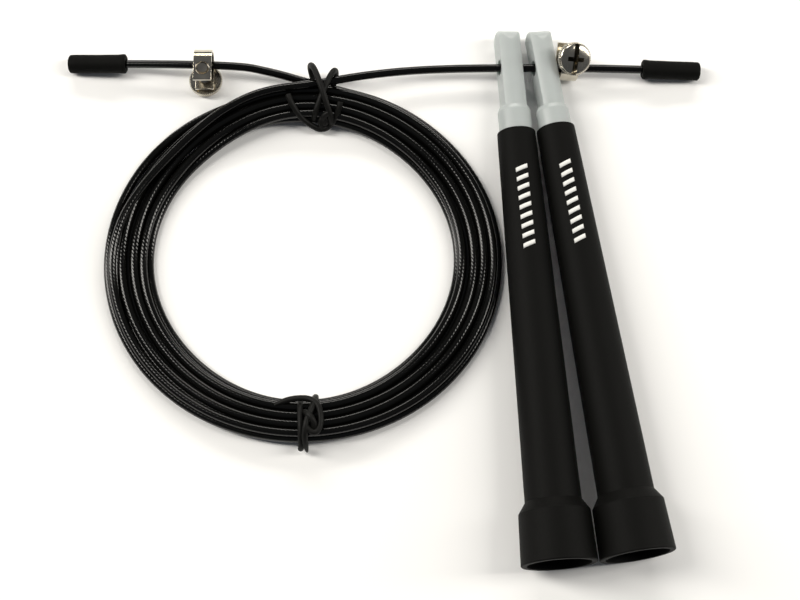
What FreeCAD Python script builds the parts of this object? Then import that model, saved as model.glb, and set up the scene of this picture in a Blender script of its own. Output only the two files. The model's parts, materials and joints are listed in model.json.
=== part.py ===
import FreeCAD, Part
import math
import os
import Sketcher

App = FreeCAD
Vec = App.Vector

# Speed jump rope, stored: a coated steel cable wound in a flat coil and held by two twist
# ties, two hollow handles with nylon swivel heads, two screw clamps and two end caps.
# +X runs along the straight stretch of cable, +Y from the bells to the swivel heads, +Z up.
# The origin is on the table, at the middle of the box round the two handles.

doc = App.newDocument("jump_rope")

SIZES = {
    # cable, ties and caps
    "cable_d": 2.5, "cable_y": 70.3, "cable_z": 4.98, "tie_d": 1.45,
    "cap_d": 5.7, "cap_length": 17.8, "cap_depth": 13.0, "cap_fit": 0.05,
    # coil: outer and inner oval, corner rounding and centre
    "coil_width": 119.6, "coil_breadth": 111.2, "coil_height": 4.6, "coil_round": 2.0,
    "eye_width": 89.4, "eye_breadth": 87.4, "coil_right": -22.4, "coil_y": 10.2,
    # grip
    "grip_length": 131.0, "nose_wall": 0.7, "flare_d": 16.3, "bell_d": 20.6, "rim_d": 21.9,
    "bell_length": 14.8, "flare_length": 3.2, "grip_wall": 1.7, "rim_wall": 1.7,
    "mouth_depth": 13.6, "bulkhead": 3.0, "nose_round": 0.4, "driver_bore_d": 8.6,
    # swivel head
    "shank_d": 9.2, "flats": 6.6, "tip_reach": 11.9, "shank_reach": 13.6,
    "shoulder_slope": 1.2, "barrel_d": 10.0, "barrel_length": 19.0, "barrel_seat": 13.5,
    "spigot_d": 5.0, "turn_fit": 0.1, "end_gap": 0.1, "axial_play": 1.1,
    "hole_slack": 2.3, "edge_round": 0.5, "head_turn": 11.0,
    # retaining screw and washer inside the grip
    "pilot_d": 2.9, "pilot_depth": 14.0, "thread_d": 3.5, "thread_length": 12.0,
    "pan_d": 6.8, "pan_height": 2.3, "pan_round": 0.8, "cross_size": 3.4, "cross_slot": 0.9,
    "cross_depth": 1.3, "washer_d": 7.6, "washer_bore": 3.7, "washer_height": 0.8,
    # cable clamp
    "strap_gap": 6.8, "strap_sheet": 0.8, "strap_width": 5.5, "leg_length": 6.9,
    "screw_to_bend": 3.1, "screw_to_cable": 3.7, "stud_d": 4.0, "stud_fit": 0.05,
    "stud_slack": 0.2, "stud_end": 0.05, "seat_gap": 0.05, "collar_d": 7.2,
    "collar_height": 0.5, "step_d": 5.4, "step_height": 0.4, "disc_d": 10.2,
    "disc_height": 2.0, "dome_d": 9.2, "dome_height": 1.0, "slot_width": 1.5,
    "slot_depth": 0.9, "star_size": 4.8, "star_slot": 1.2, "star_depth": 1.8,
    # ties: clearance round the bundle, and the twisted end
    "tie_slack": 0.3, "tie_spare_top": 3.7, "tie_rise_top": 1.0, "tie_inside_top": 1.2,
    "tie_shift_top": 4.0, "tie_shift_bottom": 2.0, "twist_d": 2.6, "twist_length": 4.2,
    # places: heads and clamps along the cable, splay and lean
    "left_head_x": -19.82, "left_yaw": 4.26, "handle_gap": 0.35,
    "left_clamp_x": -113.0, "right_clamp_gap": 1.1,
    "left_clamp_rise": 1.56, "right_clamp_rise": -0.6, "clamp_lean": 13.0, "clamp_roll": 28.0,
}

sheet = doc.addObject("Spreadsheet::Sheet", "sizes")
for row, (alias, value) in enumerate(SIZES.items(), start=1):
    sheet.set(f"A{row}", alias)
    sheet.set(f"B{row}", str(value))
    sheet.setAlias(f"B{row}", alias)
doc.recompute()


def size(alias):
    return float(getattr(sheet, alias))


def cells(expression):
    """The sheet's aliases in an expression, written as references to the sheet."""
    words = []
    for word in expression.replace("(", " ( ").replace(")", " ) ").split():
        words.append("sizes." + word if word in SIZES else word)
    return " ".join(words)


def bind(item, prop, expression):
    item.setExpression(prop, cells(expression))


# ---------- building with sketches ----------

def new_body(name):
    body = doc.addObject("PartDesign::Body", name)
    body.Label = name
    return body


def new_sketch(body, name, role):
    plane = next(f for f in body.Origin.OriginFeatures if f.Role == role)
    sketch = body.newObject("Sketcher::SketchObject", name)
    sketch.AttachmentSupport = [(plane, "")]
    sketch.MapMode = "FlatFace"
    return sketch


def pin_point(sketch, geometry, end, across, along):
    """Ties one point of a sketch to the origin by two bound distances."""
    for kind, axis, expression in (("DistanceX", -2, across), ("DistanceY", -1, along)):
        if expression == "0":
            sketch.addConstraint(Sketcher.Constraint("PointOnObject", geometry, end, axis))
            continue
        value = value_of(expression)
        number = sketch.addConstraint(
            Sketcher.Constraint(kind, -1, 1, geometry, end, value))
        bind(sketch, f"Constraints[{number}]", expression)


def value_of(expression):
    """The present value of a sum of products of aliases and numbers."""
    total, product, operator = 0.0, 0.0, "+"
    for word in expression.split():
        if word in ("+", "-", "*", "/"):
            operator = word
            continue
        number = size(word) if word in SIZES else float(word)
        if operator in ("+", "-"):
            total += product
            product = number if operator == "+" else -number
        elif operator == "*":
            product *= number
        else:
            product /= number
    return total + product


def polygon(sketch, points):
    """A closed outline whose corners are bound to the sheet."""
    spots = [Vec(value_of(x), value_of(y), 0) for x, y in points]
    count = len(spots)
    first = sketch.GeometryCount
    for i in range(count):
        sketch.addGeometry(Part.LineSegment(spots[i], spots[(i + 1) % count]), False)
    for i in range(count):
        after = (i + 1) % count
        sketch.addConstraint(Sketcher.Constraint("Coincident", first + i, 2, first + after, 1))
    for i, (x, y) in enumerate(points):
        pin_point(sketch, first + i, 1, x, y)


def circle(sketch, x, y, diameter):
    centre = Vec(value_of(x), value_of(y), 0)
    number = sketch.addGeometry(Part.Circle(centre, Vec(0, 0, 1), value_of(diameter) / 2))
    pin_point(sketch, number, 3, x, y)
    which = sketch.addConstraint(Sketcher.Constraint("Diameter", number, value_of(diameter)))
    bind(sketch, f"Constraints[{which}]", diameter)


def outside_arch(sketch, radius, top):
    """What lies outside a half-round end: corners to cut away from a flat-ended bar."""
    rise, reach = value_of(top), value_of(radius)
    arc = sketch.addGeometry(Part.ArcOfCircle(
        Part.Circle(Vec(0, rise - reach, 0), Vec(0, 0, 1), reach), 0, math.pi))
    pin_point(sketch, arc, 3, "0", f"{top} - {radius}")
    which = sketch.addConstraint(Sketcher.Constraint("Radius", arc, reach))
    bind(sketch, f"Constraints[{which}]", radius)
    foot = f"{top} - {radius}"
    corners = [(radius, foot), (f"{radius} * 2", foot), (f"{radius} * 2", f"{top} * 2"),
               (f"- {radius} * 2", f"{top} * 2"), (f"- {radius} * 2", foot),
               (f"- {radius}", foot)]
    spots = [Vec(value_of(x), value_of(y), 0) for x, y in corners]
    first = sketch.GeometryCount
    for begin, end in zip(spots, spots[1:]):
        sketch.addGeometry(Part.LineSegment(begin, end), False)
    last = sketch.GeometryCount - 1
    for line in range(first, last):
        sketch.addConstraint(Sketcher.Constraint("Coincident", line, 2, line + 1, 1))
    sketch.addConstraint(Sketcher.Constraint("Coincident", arc, 1, first, 1))
    sketch.addConstraint(Sketcher.Constraint("Coincident", arc, 2, last, 2))
    for line, (x, y) in zip(range(first + 1, last + 1), corners[1:]):
        pin_point(sketch, line, 1, x, y)
    for line, end in ((first, 1), (last, 2)):
        which = sketch.addConstraint(Sketcher.Constraint(
            "DistanceY", -1, 1, line, end, value_of(foot)))
        bind(sketch, f"Constraints[{which}]", foot)


def turned(body, name, points):
    """A solid of revolution about the body's Z axis from a half outline in XZ."""
    sketch = new_sketch(body, name + "_outline", "XZ_Plane")
    polygon(sketch, points)
    turn = body.newObject("PartDesign::Revolution", name)
    turn.Profile = sketch
    turn.ReferenceAxis = (sketch, ["V_Axis"])
    turn.Angle = 360
    doc.recompute()
    return turn


def cut_through(body, name, role, draw, through=True, depth=None, reverse=False):
    """A pocket cut both ways through the body, or to a depth from its plane."""
    sketch = new_sketch(body, name + "_outline", role)
    draw(sketch)
    before = body.Shape.Volume
    pocket = body.newObject("PartDesign::Pocket", name)
    pocket.Profile = sketch
    if through:
        pocket.Type = "ThroughAll"
        pocket.Midplane = True
    else:
        pocket.Reversed = reverse
        bind(pocket, "Length", depth)
    doc.recompute()
    if body.Shape.Volume > before - 1e-3:
        raise RuntimeError(f"{name} cuts nothing: {sketch.State} {pocket.State}")
    return pocket


def round_edges(body, name, radius, chosen):
    """A fillet on the edges of the body's tip that the test chooses."""
    base = body.Tip
    names = [f"Edge{i}" for i, e in enumerate(base.Shape.Edges, start=1) if chosen(e)]
    if not names:
        raise RuntimeError(name + " finds no edge")
    fillet = body.newObject("PartDesign::Fillet", name)
    fillet.Base = (base, names)
    bind(fillet, "Radius", radius)
    doc.recompute()
    return fillet


def ring_edge(radius, height):
    """Chooses the circular edge of a given radius at a given height."""
    def chosen(edge):
        curve = edge.Curve
        if not isinstance(curve, Part.Circle):
            return False
        return abs(curve.Radius - radius) < 1e-3 and abs(curve.Center.z - height) < 1e-3
    return chosen


# ---------- where the handles lie ----------

# Each grip rests on its rim and its nose, so its axis tips down towards the swivel head.
NOSE_RADIUS = size("barrel_d") / 2 + size("turn_fit") + size("nose_wall")
TAPER = (size("rim_d") / 2 - NOSE_RADIUS) / size("grip_length")
TIP_DOWN = math.degrees(math.atan(TAPER))
SPLAY = math.degrees(math.asin(2 * TAPER))
NOSE_REACH = size("shank_reach") + size("shoulder_slope") + size("barrel_length") \
    - size("barrel_seat")
YAW = {"left": size("left_yaw"), "right": size("left_yaw") + SPLAY}
PLAY = {"left": size("axial_play"), "right": 0.0}


def slope(side):
    return math.tan(math.radians(YAW[side]))


def head_x(side):
    """Where a swivel head sits on the cable: the noses lie a named gap apart."""
    if side == "left":
        return size("left_head_x")
    middle = math.radians((YAW["left"] + YAW["right"]) / 2)
    apart = (2 * NOSE_RADIUS + size("handle_gap")) / math.cos(middle)
    return size("left_head_x") + apart - NOSE_REACH * (slope("right") - slope("left"))


def handle_turn(side):
    return App.Rotation(Vec(0, 0, 1), YAW[side]) * App.Rotation(Vec(1, 0, 0), -90 - TIP_DOWN)


def head_place(side):
    """Frame of a swivel head: origin at its cross hole, Z towards its tip."""
    reach = NOSE_REACH + PLAY[side]
    down = math.radians(TIP_DOWN)
    nose_z = size("rim_d") / 2 * math.cos(down) - size("grip_length") * math.sin(down)
    return App.Placement(
        Vec(head_x(side), size("cable_y"), nose_z - reach * math.sin(down)),
        handle_turn(side) * App.Rotation(Vec(0, 0, 1), size("head_turn")))


def grip_place(side):
    """Frame of a grip: origin at the middle of its nose, Z towards the swivel head."""
    head = head_place(side)
    axis = head.Rotation.multVec(Vec(0, 0, 1))
    return App.Placement(head.Base - axis * (NOSE_REACH + PLAY[side]), handle_turn(side))


# ---------- handles ----------

def make_grip(side):
    """Moulded grip: a tapered tube with a bell, a bearing seat and a bulkhead."""
    body = new_body(f"grip_{side}")
    seat = "- barrel_seat - end_gap"
    wall = seat + " - bulkhead"
    bell = "- grip_length + bell_length"
    flare = bell + " + flare_length"
    turned(body, f"grip_tube_{side}", [
        ("barrel_d / 2 + turn_fit", "0"),
        ("barrel_d / 2 + turn_fit + nose_wall", "0"),
        ("flare_d / 2", flare),
        ("bell_d / 2", bell),
        ("rim_d / 2", "- grip_length"),
        ("rim_d / 2 - rim_wall", "- grip_length"),
        ("rim_d / 2 - rim_wall", "- grip_length + mouth_depth"),
        ("flare_d / 2 - grip_wall", "- grip_length + mouth_depth + flare_length"),
        ("driver_bore_d / 2", wall + " - flare_length"),
        ("driver_bore_d / 2", wall),
        ("spigot_d / 2 + turn_fit", wall),
        ("spigot_d / 2 + turn_fit", seat),
        ("barrel_d / 2 + turn_fit", seat),
    ])
    round_edges(body, f"grip_nose_round_{side}", "nose_round",
                ring_edge(NOSE_RADIUS, 0.0))
    round_edges(body, f"grip_rim_round_{side}", "nose_round",
                ring_edge(size("rim_d") / 2, -size("grip_length")))
    body.Placement = grip_place(side)
    return body


def make_head(side):
    """Nylon swivel head: flatted shank with a cable hole, and a barrel that turns in the grip."""
    body = new_body(f"swivel_head_{side}")
    barrel = "- shank_reach - shoulder_slope"
    end = barrel + " - barrel_length"
    spigot = end + " - end_gap - bulkhead - axial_play - end_gap"
    turned(body, f"head_turned_{side}", [
        ("0", "tip_reach"),
        ("shank_d / 2", "tip_reach"),
        ("shank_d / 2", "- shank_reach"),
        ("barrel_d / 2", barrel),
        ("barrel_d / 2", end),
        ("spigot_d / 2", end),
        ("spigot_d / 2", spigot),
        ("pilot_d / 2", spigot),
        ("pilot_d / 2", spigot + " + pilot_depth"),
        ("0", spigot + " + pilot_depth"),
    ])

    def beside_flats(sketch):
        for sign in ("", "-"):
            polygon(sketch, [
                (f"{sign} flats / 2", "- shank_reach"),
                (f"{sign} barrel_d", "- shank_reach"),
                (f"{sign} barrel_d", "tip_reach + edge_round"),
                (f"{sign} flats / 2", "tip_reach + edge_round"),
            ])

    cut_through(body, f"head_flats_{side}", "XZ_Plane", beside_flats)
    cut_through(body, f"head_hole_{side}", "YZ_Plane",
                lambda sketch: circle(sketch, "0", "0", "cable_d + hole_slack"))

    cut_through(body, f"head_tip_{side}", "YZ_Plane",
                lambda sketch: outside_arch(sketch, "shank_d / 2", "tip_reach"))

    def flat_edge(edge):
        middle = edge.CenterOfMass
        beside = abs(abs(middle.x) - size("flats") / 2) < 1e-3
        return beside and middle.z > -size("shank_reach") + 1e-3 \
            and abs(middle.y) + abs(middle.z) > size("cable_d") + size("hole_slack")

    round_edges(body, f"head_edges_{side}", "edge_round", flat_edge)
    body.Placement = head_place(side)
    return body


def spigot_end():
    """Height of the swivel head's inner end in its own frame."""
    names = ("shank_reach", "shoulder_slope", "barrel_length", "bulkhead", "axial_play")
    return -sum(size(name) for name in names) - 2 * size("end_gap")


def make_washer(side):
    """Flat washer that keeps the grip on the swivel head."""
    body = new_body(f"retaining_washer_{side}")
    turned(body, f"washer_ring_{side}", [
        ("washer_bore / 2", "0"),
        ("washer_d / 2", "0"),
        ("washer_d / 2", "- washer_height"),
        ("washer_bore / 2", "- washer_height"),
    ])
    body.Placement = head_place(side) * App.Placement(Vec(0, 0, spigot_end()), App.Rotation())
    return body


def cross_recess(body, name, arm, slot, depth, top):
    """Two crossed slots cut into a screw head from above a given height."""
    def draw(sketch):
        across = [(f"- {slot} / 2", f"- {arm} / 2"), (f"{slot} / 2", f"- {arm} / 2"),
                  (f"{slot} / 2", f"- {slot} / 2"), (f"{arm} / 2", f"- {slot} / 2"),
                  (f"{arm} / 2", f"{slot} / 2"), (f"{slot} / 2", f"{slot} / 2"),
                  (f"{slot} / 2", f"{arm} / 2"), (f"- {slot} / 2", f"{arm} / 2"),
                  (f"- {slot} / 2", f"{slot} / 2"), (f"- {arm} / 2", f"{slot} / 2"),
                  (f"- {arm} / 2", f"- {slot} / 2"), (f"- {slot} / 2", f"- {slot} / 2")]
        polygon(sketch, across)
        bind(sketch, "AttachmentOffset.Base.z", f"{top}")

    cut_through(body, name, "XY_Plane", draw, through=False, depth=depth)


def make_retainer(side):
    """Pan-head screw driven up the grip's bore into the swivel head."""
    body = new_body(f"retaining_screw_{side}")
    turned(body, f"retainer_turned_{side}", [
        ("0", "pan_height"),
        ("pan_d / 2 - pan_round", "pan_height"),
        ("pan_d / 2", "pan_height - pan_round"),
        ("pan_d / 2", "0"),
        ("thread_d / 2", "0"),
        ("thread_d / 2", "- thread_length + thread_d / 2"),
        ("0", "- thread_length"),
    ])
    cross_recess(body, f"retainer_cross_{side}", "cross_size", "cross_slot", "cross_depth",
                 "pan_height")
    under = Vec(0, 0, spigot_end() - size("washer_height"))
    flip = App.Rotation(Vec(1, 0, 0), 180)
    body.Placement = head_place(side) * App.Placement(under, flip)
    return body


# ---------- clamps ----------

def primitive(kind, name, place=None, **sizes):
    item = doc.addObject("Part::" + kind, name)
    for prop, expression in sizes.items():
        bind(item, prop, expression)
    if place:
        item.Placement = place
    return item


def boolean(kind, name, base, tool):
    item = doc.addObject("Part::" + kind, name)
    item.Base = base
    item.Tool = tool
    return item


ALONG_X = App.Rotation(Vec(0, 1, 0), 90)


def bent_block(name, height, length, width):
    """A bar with one round end: the strap's outer or inner shape, about the screw axis."""
    block = primitive("Box", name + "_bar", Length=width, Width=length, Height=height)
    bind(block, "Placement.Base.x", f"- ({width}) / 2")
    bind(block, "Placement.Base.y", f"screw_to_bend - ({length})")
    bind(block, "Placement.Base.z", f"- ({height}) / 2")
    bend = primitive("Cylinder", name + "_bend", App.Placement(Vec(), ALONG_X),
                     Radius=f"({height}) / 2", Height=width)
    bind(bend, "Placement.Base.x", f"- ({width}) / 2")
    bind(bend, "Placement.Base.y", "screw_to_bend")
    return boolean("Fuse", name, block, bend)


def make_strap(side, place):
    """U-shaped strap that wraps the cable, with a clearance hole and a threaded hole."""
    outer = bent_block(f"strap_outer_{side}", "strap_gap + 2 * strap_sheet", "leg_length",
                       "strap_width")
    inner = bent_block(f"strap_inner_{side}", "strap_gap", "leg_length + strap_gap",
                       "strap_width + strap_gap")
    shell = boolean("Cut", f"strap_shell_{side}", outer, inner)
    upper = primitive("Cylinder", f"strap_clearance_{side}",
                      Radius="stud_d / 2 + stud_slack", Height="strap_gap")
    lower = primitive("Cylinder", f"strap_thread_{side}",
                      App.Placement(Vec(), App.Rotation(Vec(1, 0, 0), 180)),
                      Radius="stud_d / 2 + stud_fit", Height="strap_gap")
    drilled = boolean("Cut", f"strap_drilled_{side}", shell, upper)
    strap = boolean("Cut", f"clamp_strap_{side}", drilled, lower)
    strap.Label = f"clamp_strap_{side}"
    strap.Placement = place
    return strap


def leg_top():
    return size("strap_gap") / 2 + size("strap_sheet")


def make_collar(side, place):
    """Stepped washer between the screw's disc and the strap."""
    body = new_body(f"clamp_washer_{side}")
    bore = "stud_d / 2 + stud_fit"
    turned(body, f"collar_turned_{side}", [
        (bore, "0"),
        ("step_d / 2", "0"),
        ("step_d / 2", "step_height"),
        ("collar_d / 2", "step_height"),
        ("collar_d / 2", "step_height + collar_height"),
        (bore, "step_height + collar_height"),
    ])
    seat = leg_top() + size("seat_gap")
    body.Placement = place * App.Placement(Vec(0, 0, seat), App.Rotation())
    return body


def make_clamp_screw(side, place):
    """Thumb screw: a knurled disc with a domed, slotted top, and its stud."""
    body = new_body(f"clamp_screw_{side}")
    turned(body, f"clamp_screw_turned_{side}", [
        ("0", "disc_height + dome_height"),
        ("dome_d / 4", "disc_height + dome_height * 0.93"),
        ("dome_d / 2", "disc_height + dome_height * 0.4"),
        ("dome_d / 2", "disc_height"),
        ("disc_d / 2", "disc_height"),
        ("disc_d / 2", "0"),
        ("stud_d / 2", "0"),
        ("stud_d / 2", "- step_height - collar_height - 2 * seat_gap - 2 * strap_sheet"
                       " - strap_gap - stud_end"),
        ("0", "- step_height - collar_height - 2 * seat_gap - 2 * strap_sheet"
              " - strap_gap - stud_end"),
    ])

    def slot(sketch):
        polygon(sketch, [
            ("- slot_width / 2", "disc_height + dome_height - slot_depth"),
            ("slot_width / 2", "disc_height + dome_height - slot_depth"),
            ("slot_width / 2", "disc_height + dome_height * 2"),
            ("- slot_width / 2", "disc_height + dome_height * 2"),
        ])

    cut_through(body, f"clamp_screw_slot_{side}", "XZ_Plane", slot)
    cross_recess(body, f"clamp_screw_star_{side}", "star_size", "star_slot", "star_depth",
                 "disc_height + dome_height")
    seat = leg_top() + 2 * size("seat_gap") + size("step_height") + size("collar_height")
    body.Placement = place * App.Placement(Vec(0, 0, seat), App.Rotation())
    return body


def clamp_place(on_cable, turn, rise):
    """Frame of a clamp from a point on the cable, its turn, and how far it sits above it."""
    cable_in_clamp = Vec(0, size("screw_to_cable"), 0)
    return App.Placement(on_cable + Vec(0, 0, rise) - turn.multVec(cable_in_clamp), turn)


def make_clamp(side, place):
    return [make_strap(side, place), make_collar(side, place), make_clamp_screw(side, place)]


# ---------- cable ----------

# Points chosen by hand, from the capped end towards the coil.
LEFT_TAIL = [(-150.2, 72.4, 3.08), (-105.4, 70.8, 7.4), (-91.2, 68.6, 5.0),
             (-82.4, 66.4, 3.1), (-72.2, 63.8, 2.8)]
RIGHT_TAIL = [(33.7, 70.1, 3.05), (8.8, 70.3, 4.98), (-29.2, 70.3, 4.98),
              (-49.2, 69.5, 5.1), (-65.2, 67.1, 5.45), (-78.8, 63.4, 5.5)]


def cord_tube(name, route):
    """A round tube along straight runs joined by tangent arcs, as large as the runs allow."""
    points = [Vec(*p) for p in route]
    edges, length, start, radii = [], 0.0, points[0], []
    for before, corner, after in zip(points, points[1:], points[2:]):
        back, ahead = before - corner, after - corner
        shorter = min(back.Length, ahead.Length)
        half_turn = (math.pi - back.getAngle(ahead)) / 2
        tangent = 0.45 * shorter
        radius = tangent / math.tan(half_turn)
        radii.append(round(radius, 1))
        arc_in = corner + back.normalize() * tangent
        arc_out = corner + ahead.normalize() * tangent
        bisector = (back + ahead).normalize()
        middle = corner + bisector * (radius / math.cos(half_turn) - radius)
        edges += [Part.LineSegment(start, arc_in).toShape(),
                  Part.Arc(arc_in, middle, arc_out).toShape()]
        length += (arc_in - start).Length + radius * 2 * half_turn
        start = arc_out
    edges.append(Part.LineSegment(start, points[-1]).toShape())
    length += (points[-1] - start).Length
    radius = size("cable_d") / 2
    section = Part.Wire([Part.makeCircle(radius, points[0], points[1] - points[0])])
    solid = Part.Wire(edges).makePipeShell([section], True, False)
    tube = doc.addObject("Part::Feature", name)
    tube.Shape = solid
    tube.Label = name
    tube.Placement = App.Placement()
    expected = math.pi * radius ** 2 * length
    print(name, "length", round(length, 1), "arc radii", radii,
          "volume ratio", round(solid.Volume / expected, 4))
    if abs(solid.Volume / expected - 1) > 0.01:
        raise RuntimeError(name + " volume is off")
    return tube


COIL_X = size("coil_right") - size("coil_width") / 2
BAND = (size("coil_breadth") - size("eye_breadth")) / 2


def make_coil():
    """The wound turns as one oval ring with rounded edges, lying on the ties."""
    body = new_body("cable_coil")
    sketch = new_sketch(body, "coil_ovals", "XY_Plane")
    for wide, deep in (("coil_width", "coil_breadth"), ("eye_width", "eye_breadth")):
        centre = Vec(0, 0, 0)
        oval = Part.Ellipse(centre, size(wide) / 2, size(deep) / 2)
        number = sketch.addGeometry(oval, False)
        sketch.exposeInternalGeometry(number)
        sketch.addConstraint(Sketcher.Constraint("Coincident", number, 3, -1, 1))
        for line, length, axis in ((number + 1, wide, -1), (number + 2, deep, -2)):
            which = sketch.addConstraint(Sketcher.Constraint("Distance", line, size(length)))
            bind(sketch, f"Constraints[{which}]", length)
        sketch.addConstraint(Sketcher.Constraint("PointOnObject", number + 1, 1, -1))
    pad = body.newObject("PartDesign::Pad", "coil_ring")
    pad.Profile = sketch
    bind(pad, "Length", "coil_height")
    doc.recompute()
    round_edges(body, "coil_round_edges", "coil_round",
                lambda edge: isinstance(edge.Curve, Part.Ellipse))
    body.Placement = App.Placement(Vec(COIL_X, size("coil_y"), size("tie_d")),
                                   App.Rotation())
    return body


def make_tie(name, x, y, width, height):
    """Twist tie: a loop round the bundle in the YZ plane, and its twisted end."""
    loop = primitive("Box", name + "_outer", Length="tie_d")
    outer_width, outer_height = width + 2 * size("tie_d"), height + 2 * size("tie_d")
    loop.Width, loop.Height = outer_width, outer_height
    hole = primitive("Box", name + "_inner", Length="tie_d * 3")
    hole.Width, hole.Height = width, height
    hole.Placement.Base = Vec(-size("tie_d"), size("tie_d"), size("tie_d"))
    ring = boolean("Cut", name + "_ring", loop, hole)
    doc.recompute()
    rounded = doc.addObject("Part::Fillet", name + "_rounded")
    rounded.Base = ring
    along_x = [i for i, e in enumerate(ring.Shape.Edges, start=1)
               if abs(e.tangentAt(e.FirstParameter).x) > 0.9
               and abs(e.CenterOfMass.y - outer_width / 2) > outer_width / 2 - 1e-3]
    corner = 1.2 * size("tie_d")
    rounded.Edges = [(i, corner, corner) for i in along_x]
    doc.recompute()
    twist = primitive("Cylinder", name + "_twist", Radius="twist_d / 2", Height="twist_length")
    inward = 1 if y < size("coil_y") else -1
    foot = outer_width - size("tie_d") if inward > 0 else size("tie_d")
    twist.Placement = App.Placement(Vec(size("tie_d") / 2, foot, outer_height / 2),
                                    App.Rotation(Vec(1, 0, 0), -90 * inward))
    tie = boolean("Fuse", name, rounded, twist)
    tie.Label = name
    tie.Placement = App.Placement(Vec(x - size("tie_d") / 2, y - outer_width / 2, 0),
                                  App.Rotation())
    return tie


def make_cap(name, tail):
    """Moulded vinyl cap pushed on a cable end, with a round closed end."""
    body = new_body(name)
    turned(body, name + "_turned", [
        ("cable_d / 2 + cap_fit", "0"),
        ("cap_d / 2", "0"),
        ("cap_d / 2", "cap_length"),
        ("0", "cap_length"),
        ("0", "cap_depth"),
        ("cable_d / 2 + cap_fit", "cap_depth"),
    ])
    round_edges(body, name + "_round_end", "cap_d / 2.2",
                ring_edge(size("cap_d") / 2, size("cap_length")))
    end, inward = Vec(*tail[0]), Vec(*tail[1]) - Vec(*tail[0])
    outward = inward.normalize() * -1
    depth_used = size("cap_depth") - size("end_gap")
    body.Placement = App.Placement(end - outward * depth_used,
                                   App.Rotation(Vec(0, 0, 1), outward))
    return body


nodes = []
for side in ("left", "right"):
    nodes += [make_grip(side), make_head(side), make_washer(side), make_retainer(side)]

left_start, left_next = Vec(*LEFT_TAIL[0]), Vec(*LEFT_TAIL[1])
left_run = left_next - left_start
left_share = (size("left_clamp_x") - left_start.x) / left_run.x
left_turn = App.Rotation(Vec(0, 1, 0), 180)
nodes += make_clamp("left", clamp_place(left_start + left_run * left_share, left_turn,
                                        size("left_clamp_rise")))
right_x = head_x("right") + size("flats") / 2 + size("strap_width") / 2 \
    + size("right_clamp_gap")
right_turn = App.Rotation(Vec(0, 1, 0), size("clamp_lean")) \
    * App.Rotation(Vec(1, 0, 0), size("clamp_roll")) * App.Rotation(Vec(0, 0, 1), 180)
nodes += make_clamp("right", clamp_place(
    Vec(right_x, size("cable_y"), size("cable_z")), right_turn, size("right_clamp_rise")))

nodes += [make_coil(), cord_tube("cable_left_tail", LEFT_TAIL),
          cord_tube("cable_right_tail", RIGHT_TAIL),
          make_cap("end_cap_left", LEFT_TAIL), make_cap("end_cap_right", RIGHT_TAIL)]
top_width = BAND + size("tie_spare_top")
inner_edge = size("eye_breadth") / 2
nodes.append(make_tie(
    "twist_tie_top", COIL_X + size("tie_shift_top"),
    size("coil_y") + inner_edge - size("tie_inside_top") + top_width / 2,
    top_width, size("coil_height") + size("tie_rise_top")))
nodes.append(make_tie(
    "twist_tie_bottom", COIL_X + size("tie_shift_bottom"),
    size("coil_y") - inner_edge - BAND / 2,
    BAND + 2 * size("tie_slack"), size("coil_height") + size("tie_slack")))

doc.recompute()
for item in doc.Objects:
    if "Invalid" in item.State or "Error" in item.State:
        raise RuntimeError(f"{item.Name} failed: {item.State}")
os.makedirs("parts", exist_ok=True)
for node in nodes:
    if node.Shape.isNull() or not node.Shape.isValid():
        raise RuntimeError(node.Label + " has no valid shape")
    if len(node.Shape.Solids) != 1:
        raise RuntimeError(f"{node.Label} has {len(node.Shape.Solids)} solids")
    node.Shape.exportStep(f"parts/{node.Label}.step")
    box = node.Shape.optimalBoundingBox(False, False)
    print(f"{node.Label:24s} {node.Shape.Volume:9.1f} mm3  x {box.XMin:7.2f} {box.XMax:7.2f}"
          f"  y {box.YMin:7.2f} {box.YMax:7.2f}  z {box.ZMin:6.2f} {box.ZMax:6.2f}")
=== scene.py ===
import json
import math

import bmesh
import bpy
from bpy.props import FloatProperty, FloatVectorProperty, IntProperty, PointerProperty
from bpy.types import Operator, Panel, PropertyGroup
from mathutils import Matrix, Vector


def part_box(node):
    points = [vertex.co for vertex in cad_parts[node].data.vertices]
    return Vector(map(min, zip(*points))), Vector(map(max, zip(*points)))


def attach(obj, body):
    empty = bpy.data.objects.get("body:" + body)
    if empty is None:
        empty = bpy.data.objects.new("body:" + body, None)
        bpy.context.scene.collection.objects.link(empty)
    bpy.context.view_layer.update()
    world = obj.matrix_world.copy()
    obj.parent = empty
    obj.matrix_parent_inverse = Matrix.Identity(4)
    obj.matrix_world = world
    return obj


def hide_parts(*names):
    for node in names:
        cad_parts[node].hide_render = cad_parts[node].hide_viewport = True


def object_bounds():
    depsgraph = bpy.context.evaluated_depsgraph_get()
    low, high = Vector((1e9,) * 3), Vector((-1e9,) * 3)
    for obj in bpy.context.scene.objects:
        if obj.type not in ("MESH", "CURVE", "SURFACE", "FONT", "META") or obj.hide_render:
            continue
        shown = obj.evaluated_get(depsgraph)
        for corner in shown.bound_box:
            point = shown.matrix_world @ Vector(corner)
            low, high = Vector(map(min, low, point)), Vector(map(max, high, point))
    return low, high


bl_info = {
    "name": "Speed jump rope",
    "version": (1, 0, 0),
    "blender": (4, 5, 0),
    "location": "3D Viewport > Sidebar > Jump Rope",
    "description": "Finishes the packed parts of a stored speed jump rope",
    "category": "Add Mesh",
}

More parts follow.
